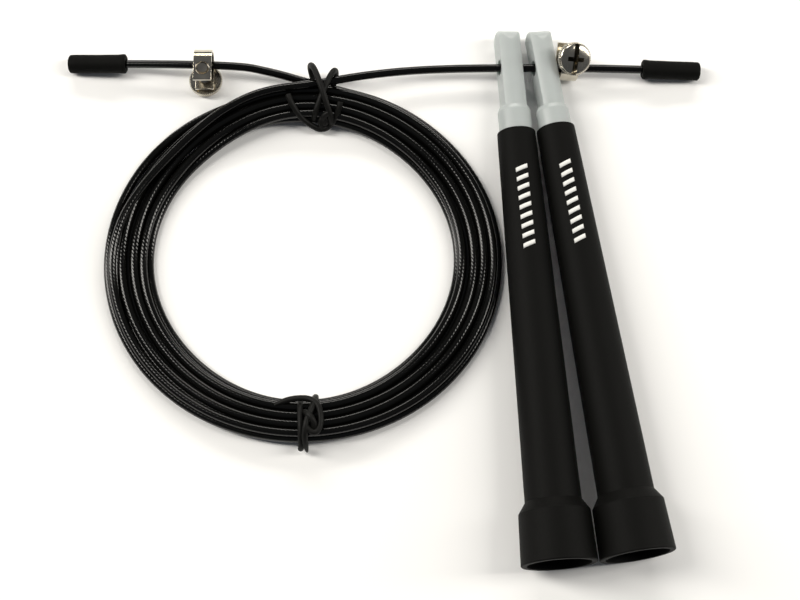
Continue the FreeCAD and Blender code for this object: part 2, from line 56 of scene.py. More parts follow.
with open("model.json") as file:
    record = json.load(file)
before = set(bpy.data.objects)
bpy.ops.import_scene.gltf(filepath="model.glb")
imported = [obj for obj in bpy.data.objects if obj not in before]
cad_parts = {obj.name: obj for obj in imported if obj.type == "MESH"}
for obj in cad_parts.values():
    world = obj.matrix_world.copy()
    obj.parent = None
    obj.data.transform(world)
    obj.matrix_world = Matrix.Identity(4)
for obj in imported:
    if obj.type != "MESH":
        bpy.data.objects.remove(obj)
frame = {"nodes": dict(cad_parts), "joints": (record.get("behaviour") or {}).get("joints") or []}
CAD_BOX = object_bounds()
MM = 0.001
SIDES = ("left", "right")
JOINTS = {joint["name"]: joint for joint in frame["joints"]}


def linear(code):
    """A linear RGBA colour from an sRGB hex value."""
    parts = [int(code[i:i + 2], 16) / 255 for i in (1, 3, 5)]
    return tuple(c / 12.92 if c <= 0.04045 else ((c + 0.055) / 1.055) ** 2.4
                 for c in parts) + (1.0,)


def colour(name, description, code):
    return FloatVectorProperty(name=name, description=description, default=linear(code),
                               subtype="COLOR", size=4, min=0, max=1)


def length(name, description, millimetres):
    return FloatProperty(name=name, description=description, default=millimetres * MM,
                         unit="LENGTH", precision=5)


# ---------- sizes and colours that a user would change ----------

class StageSettings(PropertyGroup):
    camera_x: length("Camera X", "Across the table", -53.36)
    camera_y: length("Camera Y", "Towards the heads", -138.94)
    camera_z: length("Camera height", "Above the table", 519.18)
    camera_tilt: FloatProperty(name="Camera tilt", description="From straight down",
                               default=math.radians(14.8), subtype="ANGLE")
    camera_lens: FloatProperty(name="Lens", description="Focal length", default=81.0,
                               unit="CAMERA")
    sensor: FloatProperty(name="Sensor", description="Sensor width", default=36.0,
                          unit="CAMERA")
    floor: colour("Floor", "Matte paper", "#FCFCFB")
    sky: colour("Surroundings", "Dim studio walls", "#6E7176")
    lamp: colour("Lamps", "Daylight softboxes", "#FFFBF4")
    left_watts: FloatProperty(name="Left softbox", description="Tall box at the coil's side",
                              default=17.0, unit="POWER")
    right_watts: FloatProperty(name="Right softbox",
                               description="Tall box at the handles' side",
                               default=13.0, unit="POWER")
    back_watts: FloatProperty(name="Back softbox", description="Wide box behind the heads",
                              default=13.0, unit="POWER")
    ambient: FloatProperty(name="Ambient", description="Strength of the surroundings",
                           default=0.55, min=0.0)


class CableSettings(PropertyGroup):
    diameter: length("Cable diameter", "Across the coating", 2.5)
    strand_lay: length("Strand lay", "Length of one twist of the wire strands", 7.0)
    strands: IntProperty(name="Strands", description="Wire strands under the coating",
                         default=6, min=3)
    coil_x: length("Coil centre X", "Centre of the coil", -82.2)
    coil_y: length("Coil centre Y", "Centre of the coil", 10.2)
    reach_x: length("Coil reach X", "Outermost turn from the centre", 58.55)
    reach_y: length("Coil reach Y", "Outermost turn from the centre", 54.35)
    pitch_loose: length("Loose pitch", "Between turns where nothing ties them", 3.15)
    pitch_tied: length("Tied pitch", "Between turns at the ties", 2.52)
    rest_height: length("Rest height", "Centre of the lowest turns on the table", 1.3)
    tie_lift: length("Tie lift", "Height of the turns over a tie's wire", 1.75)
    wander: length("Wander", "Unevenness of the loose turns", 0.28)
    coating: colour("Coating", "Black vinyl", "#070706")


class FittingSettings(PropertyGroup):
    tie_diameter: length("Tie diameter", "Across the tie's rubber cover", 1.8)
    cap_diameter: length("Cap diameter", "Across an end cap", 5.7)
    cap_length: length("Cap length", "From the lip to the closed end", 17.8)
    cap_depth: length("Cap depth", "Depth of the cap's bore", 13.0)
    cap_fit: length("Cap fit", "Clearance between the cable and the bore", 0.05)
    cap_dome: length("Cap dome", "Rounding of the closed end", 0.9)
    cap_lip: length("Cap lip", "Thickness of the rolled lip", 0.16)
    disc_diameter: length("Disc diameter", "Across the screw's knurled disc", 10.2)
    disc_height: length("Disc height", "Thickness of the knurled disc", 2.0)
    dome_diameter: length("Dome diameter", "Across the screw's domed top", 9.2)
    dome_drop: length("Dome drop", "From the top of the dome to its edge", 0.85)
    head_height: length("Head height", "From the disc's underside to the top", 3.0)
    stud_diameter: length("Stud diameter", "Across the screw's thread", 4.0)
    stud_reach: length("Stud reach", "From the disc's underside to the tip", 9.4)
    stud_neck: length("Stud neck", "Plain stretch above the thread", 0.8)
    thread_depth: length("Thread depth", "Depth of the clamp screw's thread", 0.3)
    screw_seat: length("Screw seat", "From the strap's middle to the disc's underside", 5.2)
    chamfer: length("Chamfer", "Broken edge of the disc", 0.25)
    tooth_depth: length("Knurl depth", "Depth of the screw's knurling", 0.3)
    teeth: IntProperty(name="Knurl teeth", description="Teeth round the screw", default=54)
    thread_pitch: length("Thread pitch", "Pitch of the clamp screw", 0.7)
    bevel: length("Sheet edge", "Rounding of the strap's edges", 0.12)
    tie: colour("Tie cover", "Black rubber", "#0D0D0B")
    cap: colour("End cap", "Black dipped vinyl", "#090908")
    nickel: colour("Nickel", "Bright nickel plating", "#D6CFC0")
    zinc: colour("Zinc", "Zinc plating", "#B4B7B6")


class HandleSettings(PropertyGroup):
    nose_radius: length("Nose radius", "Grip radius at the swivel head", 5.8)
    flare_radius: length("Flare radius", "Grip radius where the bell starts", 8.15)
    cone_length: length("Cone length", "From the nose to the bell", 113.0)
    print_start: length("Print start", "From the nose to the printed bars", 13.6)
    bar_step: length("Bar step", "Between printed bars", 3.0)
    bar_width: length("Bar width", "Along the grip", 1.35)
    bar_height: length("Bar height", "Round the grip", 3.6)
    bar_slant: length("Bar slant", "Shift between a bar's two ends", 1.3)
    ink_height: length("Ink height", "Thickness of the ink", 0.04)
    bars: IntProperty(name="Bars", description="Printed bars on each grip", default=9)
    grip: colour("Grip", "Black moulded plastic", "#080807")
    nylon: colour("Nylon", "Natural nylon", "#BAC0BF")
    ink: colour("Ink", "White pad print", "#ECECE8")


# ---------- materials ----------

def add_node(tree, kind, sockets=None, **settings):
    """Adds a node, sets its properties, and sets or links its sockets."""
    made = tree.nodes.new(kind)
    for name, value in settings.items():
        setattr(made, name, value)
    for name, value in (sockets or {}).items():
        if isinstance(value, bpy.types.NodeSocket):
            tree.links.new(value, made.inputs[name])
        else:
            made.inputs[name].default_value = value
    return made


def new_material(name, base, roughness, **sockets):
    """A material with a Principled shader. Returns it, its tree and the shader."""
    material = bpy.data.materials.new(name)
    material.use_nodes = True
    tree = material.node_tree
    shader = tree.nodes["Principled BSDF"]
    shader.inputs["Base Color"].default_value = base
    shader.inputs["Roughness"].default_value = roughness
    for socket, value in sockets.items():
        shader.inputs[socket.replace("_", " ")].default_value = value
    return material, tree, shader


def object_noise(tree, grain, detail=3.0, roughness=0.5, stretch=(1, 1, 1)):
    """Noise on the object's own coordinates, one cycle per grain."""
    place = add_node(tree, "ShaderNodeTexCoord")
    turned = add_node(tree, "ShaderNodeMapping",
                      {"Vector": place.outputs["Object"], "Scale": stretch})
    return add_node(tree, "ShaderNodeTexNoise",
                    {"Vector": turned.outputs["Vector"], "Scale": 1 / grain,
                     "Detail": detail, "Roughness": roughness}).outputs["Fac"]


def mix_by(tree, factor, low, high):
    """A colour between two, by a factor."""
    mixed = add_node(tree, "ShaderNodeMix", data_type="RGBA")
    tree.links.new(factor, mixed.inputs["Factor"])
    mixed.inputs[6].default_value = low
    mixed.inputs[7].default_value = high
    return mixed.outputs[2]


def vary(tree, shader, factor, low, high):
    """Roughness between two values, by a factor."""
    ranged = add_node(tree, "ShaderNodeMapRange", {"Value": factor, "To Min": low,
                                                   "To Max": high})
    tree.links.new(ranged.outputs["Result"], shader.inputs["Roughness"])


def raise_surface(tree, shader, height, depth, strength=1.0):
    bump = add_node(tree, "ShaderNodeBump",
                    {"Height": height, "Distance": depth, "Strength": strength})
    tree.links.new(bump.outputs["Normal"], shader.inputs["Normal"])


def shade(base, factor):
    return tuple(c * factor for c in base[:3]) + (1.0,)


def coated_wire(cable):
    """Vinyl extruded over a stranded steel wire: a gloss skin through which the strands
    show as slanting ridges, so that a long highlight breaks into beads."""
    material, tree, shader = new_material("vinyl_coated_wire_rope", cable.coating, 0.2,
                                          IOR=1.5, Specular_IOR_Level=0.34)
    along = add_node(tree, "ShaderNodeUVMap", uv_map="along_cable")
    split = add_node(tree, "ShaderNodeSeparateXYZ", {"Vector": along.outputs["UV"]})
    phase = add_node(tree, "ShaderNodeMath", {0: split.outputs["X"], 1: split.outputs["Y"]},
                     operation="ADD")
    swing = add_node(tree, "ShaderNodeMath",
                     {0: phase.outputs[0], 1: math.pi * cable.strands}, operation="MULTIPLY")
    wave = add_node(tree, "ShaderNodeMath", {0: swing.outputs[0]}, operation="SINE")
    ridge = add_node(tree, "ShaderNodeMath", {0: wave.outputs[0]}, operation="ABSOLUTE")
    dust = object_noise(tree, 7 * MM, 4.0)
    vary(tree, shader, dust, 0.06, 0.18)
    tree.links.new(mix_by(tree, dust, cable.coating, shade(cable.coating, 1.5)),
                   shader.inputs["Base Color"])
    raise_surface(tree, shader, ridge.outputs[0], 0.035 * MM, 0.6)
    return material


def rubber_cover(fitting):
    """Soft rubber moulded over tie wire: dull, with a fine skin."""
    material, tree, shader = new_material("rubber_tie_cover", fitting.tie, 0.5, IOR=1.52,
                                          Specular_IOR_Level=0.16)
    skin = object_noise(tree, 0.6 * MM, 3.0)
    vary(tree, shader, skin, 0.42, 0.62)
    raise_surface(tree, shader, skin, 0.05 * MM, 0.6)
    return material


def dipped_vinyl(fitting):
    """Dipped vinyl cap: matte, slightly orange-peeled, a little greyer where it is rubbed."""
    material, tree, shader = new_material("dipped_vinyl", fitting.cap, 0.66, IOR=1.5,
                                          Specular_IOR_Level=0.07)
    peel = object_noise(tree, 0.9 * MM, 4.0, 0.6)
    rubbed = object_noise(tree, 5 * MM, 2.0)
    tree.links.new(mix_by(tree, rubbed, fitting.cap, shade(fitting.cap, 1.7)),
                   shader.inputs["Base Color"])
    vary(tree, shader, peel, 0.55, 0.8)
    raise_surface(tree, shader, peel, 0.05 * MM, 0.7)
    return material


def moulded_grip(handle):
    """Spark-textured moulded plastic: a fine sandy matte. The grit is drawn at 0.35 mm,
    coarser than the real one, so that it shows."""
    material, tree, shader = new_material("spark_textured_plastic", handle.grip, 0.55,
                                          IOR=1.49, Specular_IOR_Level=0.09)
    grit = object_noise(tree, 0.35 * MM, 2.0, 0.7)
    cloud = object_noise(tree, 14 * MM, 3.0)
    tree.links.new(mix_by(tree, cloud, handle.grip, shade(handle.grip, 1.5)),
                   shader.inputs["Base Color"])
    vary(tree, shader, grit, 0.48, 0.72)
    raise_surface(tree, shader, grit, 0.04 * MM, 0.8)
    return material


def natural_nylon(handle):
    """Unpigmented moulded nylon: milky, light soaks in and comes out softened."""
    material, tree, shader = new_material(
        "natural_nylon", handle.nylon, 0.36, IOR=1.53, Subsurface_Weight=0.55,
        Subsurface_Radius=(2.6, 3.0, 2.7), Subsurface_Scale=1.2 * MM,
        Transmission_Weight=0.12)
    flow = object_noise(tree, 6 * MM, 3.0)
    tree.links.new(mix_by(tree, flow, shade(handle.nylon, 0.92), handle.nylon),
                   shader.inputs["Base Color"])
    ripple = object_noise(tree, 1.4 * MM, 2.0)
    vary(tree, shader, ripple, 0.3, 0.45)
    raise_surface(tree, shader, ripple, 0.04 * MM, 0.5)
    return material


def bright_nickel(fitting):
    """Bright nickel over pressed steel: a warm mirror with faint rolling marks.
    The straps, their washers and the screws share one material."""
    made = bpy.data.materials.get("bright_nickel_plate")
    if made:
        return made
    material, tree, shader = new_material("bright_nickel_plate", fitting.nickel, 0.16,
                                          Metallic=1.0)
    marks = object_noise(tree, 0.5 * MM, 4.0, 0.6, (1, 8, 1))
    haze = object_noise(tree, 3 * MM, 3.0)
    vary(tree, shader, haze, 0.1, 0.26)
    tree.links.new(mix_by(tree, haze, shade(fitting.nickel, 0.82), fitting.nickel),
                   shader.inputs["Base Color"])
    raise_surface(tree, shader, marks, 0.012 * MM, 0.6)
    return material


def zinc_plate(fitting):
    """Zinc plating on a machine screw: pale, slightly cloudy metal."""
    material, tree, shader = new_material("zinc_plate", fitting.zinc, 0.34, Metallic=1.0)
    cloud = object_noise(tree, 1.6 * MM, 3.0)
    vary(tree, shader, cloud, 0.26, 0.44)
    tree.links.new(mix_by(tree, cloud, shade(fitting.zinc, 0.8), fitting.zinc),
                   shader.inputs["Base Color"])
    return material


def pad_ink(handle):
    """Pad-printed ink: flat white, thin, with the grip's grit just showing through."""
    material, tree, shader = new_material("pad_printed_ink", handle.ink, 0.5, IOR=1.5)
    grit = object_noise(tree, 0.35 * MM, 2.0, 0.7)
    tree.links.new(mix_by(tree, grit, shade(handle.ink, 0.86), handle.ink),
                   shader.inputs["Base Color"])
    raise_surface(tree, shader, grit, 0.02 * MM, 0.5)
    return material


def floor_paper(stage):
    """Matte seamless paper."""
    material, tree, shader = new_material("matte_paper", stage.floor, 0.9)
    tooth = object_noise(tree, 1.5 * MM, 2.0)
    vary(tree, shader, tooth, 0.86, 0.96)
    return material


# ---------- mesh helpers ----------

def finish_mesh(name, shape, material, sharp=35.0):
    """A piece from a bmesh: merged, normals out, smooth but for its sharp edges."""
    bmesh.ops.remove_doubles(shape, verts=shape.verts, dist=1e-6)
    bmesh.ops.recalc_face_normals(shape, faces=shape.faces)
    mesh = bpy.data.meshes.new(name)
    shape.to_mesh(mesh)
    shape.free()
    mesh.materials.append(material)
    mesh.polygons.foreach_set("use_smooth", [True] * len(mesh.polygons))
    mesh.set_sharp_from_angle(angle=math.radians(sharp))
    piece = bpy.data.objects.new(name, mesh)
    bpy.context.scene.collection.objects.link(piece)
    return piece


def lathe(profile, steps):
    """A bmesh turned about Z from (radius, height) pairs that start and end on the axis."""
    shape = bmesh.new()
    corners = [shape.verts.new((radius, 0, height)) for radius, height in profile]
    edges = [shape.edges.new(pair) for pair in zip(corners, corners[1:])]
    bmesh.ops.spin(shape, geom=corners + edges, cent=(0, 0, 0), axis=(0, 0, 1),
                   angle=math.tau, steps=steps, use_merge=True)
    bmesh.ops.remove_doubles(shape, verts=shape.verts, dist=1e-6)
    return shape


def frame_at(origin, z_axis, y_hint):
    """A placement whose Z runs along z_axis and whose Y leans to y_hint."""
    z = Vector(z_axis).normalized()
    y = (Vector(y_hint) - z * z.dot(Vector(y_hint))).normalized()
    x = y.cross(z)
    turned = Matrix((x, y, z)).transposed().to_4x4()
    return Matrix.Translation(Vector(origin)) @ turned


def middle(node):
    low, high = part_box(node)
    return (low + high) / 2


def give(node, material):
    """A CAD node keeps its shape and gets a finish."""
    mesh = frame["nodes"][node].data
    mesh.materials.clear()
    mesh.materials.append(material)


def spline_curve(name, splines, bevel, resolution):
    """A curve object of NURBS splines, each a list of (x, y, z) in metres with an optional
    radius share as a fourth number."""
    curve = bpy.data.curves.new(name, "CURVE")
    curve.dimensions = "3D"
    curve.bevel_depth = bevel
    curve.bevel_resolution = 6
    curve.resolution_u = resolution
    for points in splines:
        spline = curve.splines.new("NURBS")
        spline.points.add(len(points) - 1)
        for point, place in zip(spline.points, points):
            point.co = (*place[:3], 1.0)
            point.radius = place[3] if len(place) > 3 else 1.0
        spline.order_u = 3
        spline.use_endpoint_u = True
        spline.resolution_u = resolution
    holder = bpy.data.objects.new(name, curve)
    bpy.context.scene.collection.objects.link(holder)
    return holder


def mesh_of(holder):
    """The mesh of a curve object as it stands."""
    bpy.context.view_layer.update()
    return bpy.data.meshes.new_from_object(
        holder.evaluated_get(bpy.context.evaluated_depsgraph_get()))


def drop(holder):
    curve = holder.data
    bpy.data.objects.remove(holder)
    bpy.data.curves.remove(curve)


# ---------- stage ----------

def softbox(name, place, target, size, watts, tint):
    lamp = bpy.data.lights.new(name, "AREA")
    lamp.shape = "RECTANGLE"
    lamp.size, lamp.size_y = size
    lamp.energy = watts
    lamp.color = tint[:3]
    holder = bpy.data.objects.new(name, lamp)
    holder.location = place
    aim = Vector(target) - Vector(place)
    holder.rotation_euler = aim.to_track_quat("-Z", "Y").to_euler()
    bpy.context.scene.collection.objects.link(holder)


class JUMPROPE_OT_stage(Operator):
    """Camera, floor and soft studio lights"""
    bl_idname = "jumprope.stage"
    bl_label = "Stage"

    def execute(self, context):
        stage = context.scene.jumprope_stage
        camera = bpy.data.cameras.new("camera")
        camera.lens = stage.camera_lens
        camera.sensor_width = stage.sensor
        camera.clip_start = 0.01
        holder = bpy.data.objects.new("camera", camera)
        holder.location = (stage.camera_x, stage.camera_y, stage.camera_z)
        holder.rotation_euler = (stage.camera_tilt, 0, 0)
        context.scene.collection.objects.link(holder)
        context.scene.camera = holder

        shape = bmesh.new()
        bmesh.ops.create_grid(shape, x_segments=1, y_segments=1, size=4.0)
        floor = finish_mesh("floor", shape, floor_paper(stage))

        centre = (CAD_BOX[0] + CAD_BOX[1]) / 2
        tall, wide = (0.3, 1.3), (1.5, 0.25)
        for name, offset, size, watts in (
                ("left_softbox", (-1.0, 0.25, 0.95), tall, stage.left_watts),
                ("right_softbox", (1.1, 0.1, 0.85), tall, stage.right_watts),
                ("back_softbox", (0.0, 1.35, 0.8), wide, stage.back_watts)):
            softbox(name, centre + Vector(offset), centre, size, watts, stage.lamp)
        world = bpy.data.worlds.new("studio")
        world.use_nodes = True
        background = world.node_tree.nodes["Background"]
        background.inputs["Color"].default_value = stage.sky
        background.inputs["Strength"].default_value = stage.ambient
        context.scene.world = world
        context.scene.view_settings.view_transform = "Standard"
        return {"FINISHED"}


# ---------- cable ----------

# The free stretches, in millimetres, chosen from the capped ends to the coil.
LEFT_TAIL = [(-150.2, 72.4, 3.08), (-105.4, 70.8, 7.4), (-91.2, 68.6, 5.0),
             (-82.4, 66.4, 3.4), (-72.2, 63.8, 3.1)]
RIGHT_TAIL = [(33.7, 70.1, 3.05), (8.8, 70.3, 4.98), (-29.2, 70.3, 4.98),
              (-49.2, 69.5, 5.3), (-65.2, 67.1, 6.8), (-78.8, 64.2, 7.4)]
# Slot of each turn from the outside in: five turns on the table, four in their grooves.
SLOTS = (0, 1, 2, 3, 4, 3.5, 2.5, 1.5, 0.5)
LOWER_TURNS = 5
SHIFT_START, SHIFT_END = -0.153, 0.033
CLIMB_TURN = math.radians(120)
POINTS_PER_TURN = 28
FIRST_TURN, LAST_TURN = 0.065, 8.965
# The last turn climbs, moves inwards over the others, and moves out again to leave.
RIDE_UP, RIDE_IN, RIDE_OUT = (8.67, 8.8), (8.74, 8.87), (8.87, 8.99)
SLOTS_IN, SLOTS_OUT = 1.4, 1.5


def share_between(value, start, end):
    """0 before start, 1 after end, and a smooth step between."""
    share = min(max((value - start) / (end - start), 0.0), 1.0)
    return share * share * (3 - 2 * share)


def coil_place(turn, cable):
    """The cable's centre line after so many clockwise turns from the coil's top."""
    angle = turn * math.tau
    tied = abs(math.cos(angle))
    loose = 1 - tied ** 4
    pitch = cable.pitch_tied + (cable.pitch_loose - cable.pitch_tied) * loose
    height = cable.rest_height + cable.tie_lift * tied ** 6
    shift = share_between(turn - round(turn), SHIFT_START, SHIFT_END)
    slot = 0.0
    for number, (before, after) in enumerate(zip(SLOTS, SLOTS[1:]), start=1):
        slot += (after - before) * share_between(turn, number + SHIFT_START,
                                                 number + SHIFT_END)
    climbing = share_between(turn, LOWER_TURNS + SHIFT_START, LOWER_TURNS + SHIFT_END)
    if 0 < climbing < 1:
        slot = SLOTS[LOWER_TURNS - 2] + climbing + math.cos(CLIMB_TURN * climbing)
        height += cable.diameter * math.sin(CLIMB_TURN * climbing)
    elif climbing == 1:
        beside = abs((slot - shift + 0.5) % 1 - 0.5) * pitch
        height += math.sqrt(cable.diameter ** 2 - beside ** 2) + 0.2 * MM * loose
    height += cable.diameter * share_between(turn, *RIDE_UP)
    slot += SLOTS_IN * share_between(turn, *RIDE_IN)
    slot -= SLOTS_OUT * share_between(turn, *RIDE_OUT)
    wander = cable.wander * loose * math.sin(angle * 1.38)
    inward = slot * pitch + wander
    return Vector((cable.coil_x + (cable.reach_x - inward) * math.sin(angle),
                   cable.coil_y + (cable.reach_y - inward) * math.cos(angle), height))


def cable_route(cable):
    """Control points: one tail, the coil's turns, the other tail."""
    centre = Vector((cable.coil_x, cable.coil_y, 0))
    # A quadratic spline runs inside its control points by this share.
    spread = 1 / (0.75 + 0.25 * math.cos(math.tau / POINTS_PER_TURN))
    count = round((LAST_TURN - FIRST_TURN) * POINTS_PER_TURN)
    turns = []
    for i in range(count + 1):
        place = coil_place(FIRST_TURN + (LAST_TURN - FIRST_TURN) * i / count, cable)
        out = place - centre
        turns.append(centre + Vector((out.x * spread, out.y * spread, out.z)))
    left = [Vector(point) * MM for point in LEFT_TAIL]
    right = [Vector(point) * MM for point in reversed(RIGHT_TAIL)]
    return [tuple(point) for point in left + turns + right]


def map_along(mesh, line, lay):
    """A UV map for the cable: round it across, and along it in strand lays."""
    ring = len(mesh.vertices) // len(line)
    travelled = [0.0]
    for before, after in zip(line, line[1:]):
        travelled.append(travelled[-1] + (after - before).length)
    while mesh.uv_layers:
        mesh.uv_layers.remove(mesh.uv_layers[0])
    uv = mesh.uv_layers.new(name="along_cable")
    for face in mesh.polygons:
        around = [mesh.loops[i].vertex_index % ring for i in face.loop_indices]
        seam = 0 in around and ring - 1 in around
        for i, step in zip(face.loop_indices, around):
            turned = ring if seam and step == 0 else step
            place = mesh.loops[i].vertex_index // ring
            uv.data[i].uv = (turned / ring, travelled[place] / lay)


class JUMPROPE_OT_cable(Operator):
    """The coated steel cable: both tails and the coil in one length"""
    bl_idname = "jumprope.cable"
    bl_label = "Cable"

    def execute(self, context):
        cable = context.scene.jumprope_cable
        holder = spline_curve("cable", [cable_route(cable)], 0.0, 8)
        bare = mesh_of(holder)
        line = [vertex.co.copy() for vertex in bare.vertices]
        bpy.data.meshes.remove(bare)
        holder.data.bevel_depth = cable.diameter / 2
        mesh = mesh_of(holder)
        drop(holder)
        map_along(mesh, line, cable.strand_lay)
        shape = bmesh.new()
        shape.from_mesh(mesh)
        bmesh.ops.holes_fill(shape, edges=[e for e in shape.edges if e.is_boundary], sides=0)
        shape.to_mesh(mesh)
        shape.free()
        mesh.materials.clear()
        mesh.materials.append(coated_wire(cable))
        mesh.polygons.foreach_set("use_smooth", [True] * len(mesh.polygons))
        piece = bpy.data.objects.new("cable", mesh)
        context.scene.collection.objects.link(piece)
        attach(piece, "cable")
        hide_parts("cable_coil", "cable_left_tail", "cable_right_tail")
        return {"FINISHED"}


# ---------- twist ties ----------

# Centre lines in millimetres, with the share of the full thickness at pointed ends.
TOP_TIE = [
    [(-79.6, 53.9, 3.6), (-79.2, 54.8, 6.4), (-78.0, 57.6, 8.1), (-76.4, 61.6, 9.3),
     (-74.3, 66.5, 9.7), (-73.0, 68.9, 7.6), (-72.9, 68.6, 3.2), (-74.4, 64.5, 0.92),
     (-76.6, 57.5, 0.92), (-75.8, 53.4, 1.0), (-74.1, 52.2, 3.2), (-74.4, 54.2, 6.9),
     (-76.0, 58.6, 9.6), (-77.6, 63.4, 10.9), (-79.3, 68.2, 10.1), (-80.6, 70.6, 7.4),
     (-80.9, 70.4, 4.2), (-80.0, 67.6, 1.6), (-79.2, 64.6, 0.92)],
    [(-87.2, 60.3, 8.6), (-86.6, 58.4, 8.4), (-84.6, 55.3, 6.6), (-82.9, 53.7, 4.6),
     (-79.6, 51.9, 3.0), (-77.4, 51.2, 2.5), (-75.2, 51.7, 2.9), (-73.3, 53.6, 4.6),
     (-71.7, 56.4, 7.3), (-71.4, 58.2, 7.9)],
    [(-76.9, 51.4, 2.6), (-77.6, 52.6, 4.4), (-76.9, 54.0, 5.6), (-75.6, 53.6, 5.4),
     (-75.9, 52.4, 4.4), (-76.9, 52.9, 4.2), (-76.4, 54.4, 6.8), (-75.0, 54.9, 7.2)],
]
BOTTOM_TIE = [
    [(-82.3, -33.2, 3.4), (-82.4, -34.6, 6.3), (-82.2, -38.6, 7.6), (-82.0, -43.6, 7.4),
     (-81.9, -46.8, 5.2), (-82.3, -47.4, 2.4), (-81.8, -45.0, 0.92), (-80.6, -37.0, 0.92),
     (-79.2, -32.8, 1.0), (-78.0, -31.7, 3.0), (-77.8, -33.0, 6.4), (-78.8, -36.2, 8.8),
     (-80.4, -40.2, 9.4), (-80.9, -44.2, 8.5), (-80.6, -47.2, 4.6), (-80.3, -48.0, 2.4, 0.35)],
    [(-89.8, -34.9, 5.9, 0.6), (-87.6, -33.9, 6.5), (-83.6, -33.0, 6.9), (-79.6, -33.2, 7.6),
     (-77.0, -35.0, 8.3), (-76.1, -38.6, 8.5), (-76.4, -42.0, 8.4), (-77.8, -43.7, 8.5),
     (-79.6, -42.9, 8.8), (-80.8, -41.2, 8.9)],
    [(-81.0, -37.2, 7.0), (-80.0, -37.9, 9.6), (-78.7, -39.4, 9.9), (-77.9, -41.2, 9.2),
     (-78.2, -42.6, 8.0)],
]


class JUMPROPE_OT_ties(Operator):
    """The two rubber-covered wire ties and their twisted ends"""
    bl_idname = "jumprope.ties"
    bl_label = "Twist ties"

    def execute(self, context):
        fitting = context.scene.jumprope_fitting
        cover = rubber_cover(fitting)
        for name, wires, node in (("top_tie", TOP_TIE, "twist_tie_top"),
                                  ("bottom_tie", BOTTOM_TIE, "twist_tie_bottom")):
            scaled = [[tuple(v * MM for v in p[:3]) + tuple(p[3:]) for p in wire]
                      for wire in wires]
            holder = spline_curve(name, scaled, fitting.tie_diameter / 2, 6)
            mesh = mesh_of(holder)
            drop(holder)
            shape = bmesh.new()
            shape.from_mesh(mesh)
            bmesh.ops.holes_fill(shape, edges=[e for e in shape.edges if e.is_boundary],
                                 sides=0)
            bpy.data.meshes.remove(mesh)
            piece = finish_mesh(name, shape, cover, 60)
            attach(piece, "cable")
            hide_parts(node)
        return {"FINISHED"}


# ---------- end caps ----------

class JUMPROPE_OT_caps(Operator):
    """The dipped vinyl caps on the cable's two ends"""
    bl_idname = "jumprope.caps"
    bl_label = "End caps"

    def execute(self, context):
        cable, fitting = context.scene.jumprope_cable, context.scene.jumprope_fitting
        vinyl = dipped_vinyl(fitting)
        radius, half = fitting.cap_diameter / 2, fitting.cap_length / 2
        depth, dome, lip = fitting.cap_depth, fitting.cap_dome, fitting.cap_lip
        bore = cable.diameter / 2 + fitting.cap_fit
        profile = [(0, depth - half), (bore, depth - half), (bore, 0.3 * MM - half),
                   (bore + 0.3 * MM, -half), (radius - 0.35 * MM, -half),
                   (radius + lip * 0.6, 0.35 * MM - half), (radius + lip, 0.8 * MM - half),
                   (radius + lip * 0.5, 1.5 * MM - half), (radius, 2.2 * MM - half),
                   (radius * 0.985, 0), (radius, half - 2.4 * MM)]
        for step in range(1, 7):
            angle = math.radians(90) * step / 6
            profile.append((radius - dome * (1 - math.cos(angle)),
                            half - dome + dome * math.sin(angle)))
        profile.append((0, half + 0.1 * MM))
        for side in SIDES:
            node = f"end_cap_{side}"
            shape = lathe(profile, 48)
            place = frame_at(middle(node), JOINTS[f"cap_pull_{side}"]["axis"], (0, 0, 1))
            bmesh.ops.transform(shape, matrix=place, verts=shape.verts)
            piece = finish_mesh(f"cap_{side}", shape, vinyl, 50)
            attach(piece, f"cap_{side}")
            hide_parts(node)
        return {"FINISHED"}


# ---------- cable clamps ----------

def clamp_frame(side):
    """The clamp's own axes: Z along its screw to the head, Y towards the strap's bend."""
    joint = JOINTS[f"clamp_turn_{side}"]
    origin = Vector(joint["pos_m"])
    return frame_at(origin, joint["axis"], middle(f"clamp_strap_{side}") - origin)


class JUMPROPE_OT_straps(Operator):
    """The clamps' bent straps"""
    bl_idname = "jumprope.straps"
    bl_label = "Clamp straps"

    def execute(self, context):
        fitting = context.scene.jumprope_fitting
        nickel = bright_nickel(fitting)
        for side in SIDES:
            node = f"clamp_strap_{side}"
            shape = bmesh.new()
            shape.from_mesh(frame["nodes"][node].data)
            bmesh.ops.remove_doubles(shape, verts=shape.verts, dist=1e-6)
            bmesh.ops.dissolve_limit(shape, verts=shape.verts, edges=shape.edges,
                                     angle_limit=math.radians(1))
            piece = finish_mesh(f"strap_{side}", shape, nickel)
            edge = piece.modifiers.new("edge", "BEVEL")
            edge.width = fitting.bevel
            edge.segments = 2
            edge.limit_method = "ANGLE"
            edge.angle_limit = math.radians(40)
            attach(piece, f"clamp_{side}")
            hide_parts(node)
            give(f"clamp_washer_{side}", nickel)
        return {"FINISHED"}


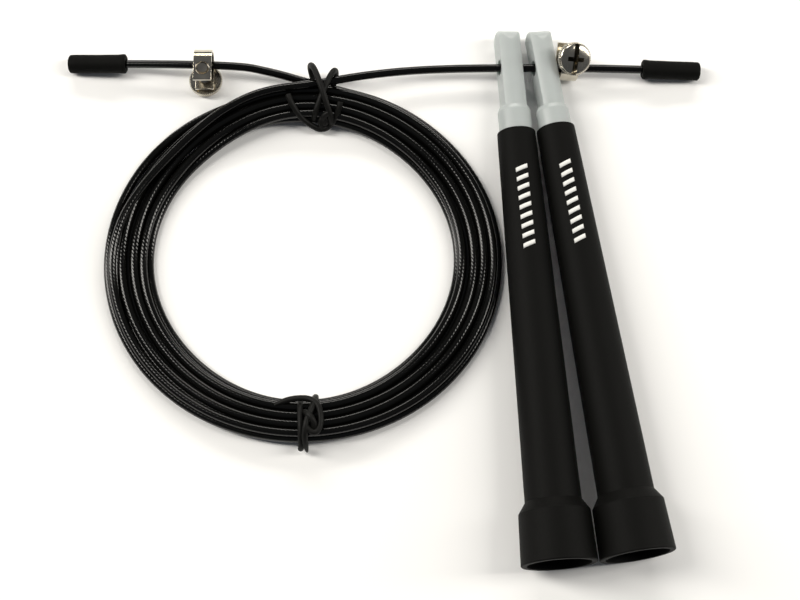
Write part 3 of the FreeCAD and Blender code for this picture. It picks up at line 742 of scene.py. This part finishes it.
def screw_profile(fitting):
    """The clamp screw's half outline from its dome to the stud's tip."""
    disc, dome, stud = (across / 2 for across in (
        fitting.disc_diameter, fitting.dome_diameter, fitting.stud_diameter))
    rim, top, tip = fitting.disc_height, fitting.head_height, -fitting.stud_reach
    cut, neck, pitch = fitting.chamfer, fitting.stud_neck, fitting.thread_pitch
    profile = [(0, top)]
    for step in range(1, 7):
        angle = math.radians(90) * step / 6
        profile.append((dome * math.sin(angle),
                        top - fitting.dome_drop * (1 - math.cos(angle))))
    profile += [(dome, rim + 0.1 * MM), (dome + 0.15 * MM, rim), (disc - cut, rim),
                (disc, rim - cut), (disc, cut), (disc - cut, 0), (stud, 0), (stud, -neck)]
    for turn in range(int(fitting.stud_reach / pitch) - 2):
        start = -neck - pitch * turn
        profile += [(stud - fitting.thread_depth, start - pitch / 2), (stud, start - pitch)]
    profile += [(stud - 0.4 * MM, tip), (0, tip)]
    return profile


# Width, length and depth of the slot and of the cross's two arms, in millimetres.
GROOVES = ((1.5, 14.0, 1.0), (5.0, 1.3, 1.9), (1.3, 5.0, 1.9))


def cut_groove(piece, wide, deep, depth, top):
    """Cuts a straight groove of that depth across the piece's top."""
    shape = bmesh.new()
    bmesh.ops.create_cube(shape, size=1.0)
    size = Vector((wide, deep, depth + 2)) * MM
    bmesh.ops.scale(shape, vec=size, verts=shape.verts)
    lift = Vector((0, 0, top - depth * MM + size.z / 2))
    bmesh.ops.translate(shape, vec=lift, verts=shape.verts)
    mesh = bpy.data.meshes.new("groove")
    shape.to_mesh(mesh)
    shape.free()
    cutter = bpy.data.objects.new("groove", mesh)
    bpy.context.scene.collection.objects.link(cutter)
    cut = piece.modifiers.new("groove", "BOOLEAN")
    cut.operation = "DIFFERENCE"
    cut.solver = "EXACT"
    cut.object = cutter
    before = piece.data
    piece.data = mesh_of(piece)
    piece.modifiers.clear()
    bpy.data.meshes.remove(before)
    bpy.data.objects.remove(cutter)
    bpy.data.meshes.remove(mesh)


class JUMPROPE_OT_knobs(Operator):
    """The clamps' knurled screws, with slot, cross and threaded stud"""
    bl_idname = "jumprope.knobs"
    bl_label = "Clamp screws"

    def execute(self, context):
        fitting = context.scene.jumprope_fitting
        nickel = bright_nickel(fitting)
        steps = fitting.teeth * 2
        knurled = fitting.disc_diameter / 2 - fitting.tooth_depth
        for side in SIDES:
            shape = lathe(screw_profile(fitting), steps)
            for vertex in shape.verts:
                radius = math.hypot(vertex.co.x, vertex.co.y)
                tooth = round(math.atan2(vertex.co.y, vertex.co.x) / math.tau * steps) % 2
                if radius > knurled and tooth:
                    share = (radius - fitting.tooth_depth) / radius
                    vertex.co.x *= share
                    vertex.co.y *= share
            turned = finish_mesh(f"knob_{side}_turned", shape, nickel)
            for wide, deep, depth in GROOVES:
                cut_groove(turned, wide, deep, depth, fitting.head_height)
            cut = turned.data
            shape = bmesh.new()
            shape.from_mesh(cut)
            bpy.data.objects.remove(turned)
            bpy.data.meshes.remove(cut)
            place = clamp_frame(side) @ Matrix.Translation((0, 0, fitting.screw_seat))
            bmesh.ops.transform(shape, matrix=place, verts=shape.verts)
            piece = finish_mesh(f"knob_{side}", shape, nickel, 25)
            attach(piece, f"clamp_knob_{side}")
            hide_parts(f"clamp_screw_{side}")
        return {"FINISHED"}


# ---------- handles ----------

def print_bars(side, handle, ink):
    """Slanted printed bars on the grip's upper face, following its cone."""
    joint = JOINTS[f"spin_{side}"]
    nose, axis = Vector(joint["pos_m"]), Vector(joint["axis"])
    place = frame_at(nose, axis, (0, 0, 1))
    shape = bmesh.new()
    for bar in range(handle.bars):
        made = bmesh.ops.create_grid(shape, x_segments=2, y_segments=10, size=0.5)
        start = handle.print_start + bar * handle.bar_step
        for vertex in made["verts"]:
            along = start + handle.bar_width * vertex.co.x + handle.bar_slant * vertex.co.y
            radius = (handle.nose_radius
                      + (handle.flare_radius - handle.nose_radius)
                      * along / handle.cone_length + handle.ink_height)
            turn = handle.bar_height * vertex.co.y / radius
            vertex.co = (radius * math.sin(turn), radius * math.cos(turn), -along)
    bmesh.ops.transform(shape, matrix=place, verts=shape.verts)
    piece = finish_mesh(f"print_{side}", shape, ink)
    body = piece.modifiers.new("thickness", "SOLIDIFY")
    body.thickness = handle.ink_height * 1.5
    body.offset = 0.0
    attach(piece, f"handle_{side}")


class JUMPROPE_OT_handles(Operator):
    """Grips with their printed bars, swivel heads, and the screws inside the bells"""
    bl_idname = "jumprope.handles"
    bl_label = "Handles"

    def execute(self, context):
        handle, fitting = context.scene.jumprope_handle, context.scene.jumprope_fitting
        plastic, nylon = moulded_grip(handle), natural_nylon(handle)
        zinc, ink = zinc_plate(fitting), pad_ink(handle)
        for side in SIDES:
            give(f"grip_{side}", plastic)
            give(f"swivel_head_{side}", nylon)
            give(f"retaining_screw_{side}", zinc)
            give(f"retaining_washer_{side}", zinc)
            print_bars(side, handle, ink)
        return {"FINISHED"}


# ---------- panel and registration ----------

OPERATORS = (JUMPROPE_OT_stage, JUMPROPE_OT_ties, JUMPROPE_OT_caps, JUMPROPE_OT_straps,
             JUMPROPE_OT_knobs, JUMPROPE_OT_cable, JUMPROPE_OT_handles)
SETTINGS = {"jumprope_stage": StageSettings, "jumprope_cable": CableSettings,
            "jumprope_fitting": FittingSettings, "jumprope_handle": HandleSettings}


class JUMPROPE_PT_panel(Panel):
    """Builds the jump rope piece by piece"""
    bl_label = "Jump Rope"
    bl_space_type = "VIEW_3D"
    bl_region_type = "UI"
    bl_category = "Jump Rope"

    def draw(self, context):
        for name in SETTINGS:
            box = self.layout.box()
            group = getattr(context.scene, name)
            for prop in group.bl_rna.properties:
                if prop.identifier not in ("rna_type", "name"):
                    box.prop(group, prop.identifier)
        for operator in OPERATORS:
            self.layout.operator(operator.bl_idname)


def register():
    for group in SETTINGS.values():
        bpy.utils.register_class(group)
    for operator in OPERATORS:
        bpy.utils.register_class(operator)
    bpy.utils.register_class(JUMPROPE_PT_panel)
    for name, group in SETTINGS.items():
        setattr(bpy.types.Scene, name, PointerProperty(type=group))


def unregister():
    for name in SETTINGS:
        delattr(bpy.types.Scene, name)
    bpy.utils.unregister_class(JUMPROPE_PT_panel)
    for operator in reversed(OPERATORS):
        bpy.utils.unregister_class(operator)
    for group in reversed(SETTINGS.values()):
        bpy.utils.unregister_class(group)


def main():
    register()
    bpy.ops.jumprope.stage()
    bpy.ops.jumprope.ties()
    bpy.ops.jumprope.caps()
    bpy.ops.jumprope.straps()
    bpy.ops.jumprope.knobs()
    bpy.ops.jumprope.cable()
    bpy.ops.jumprope.handles()


if __name__ == "__main__":
    main()
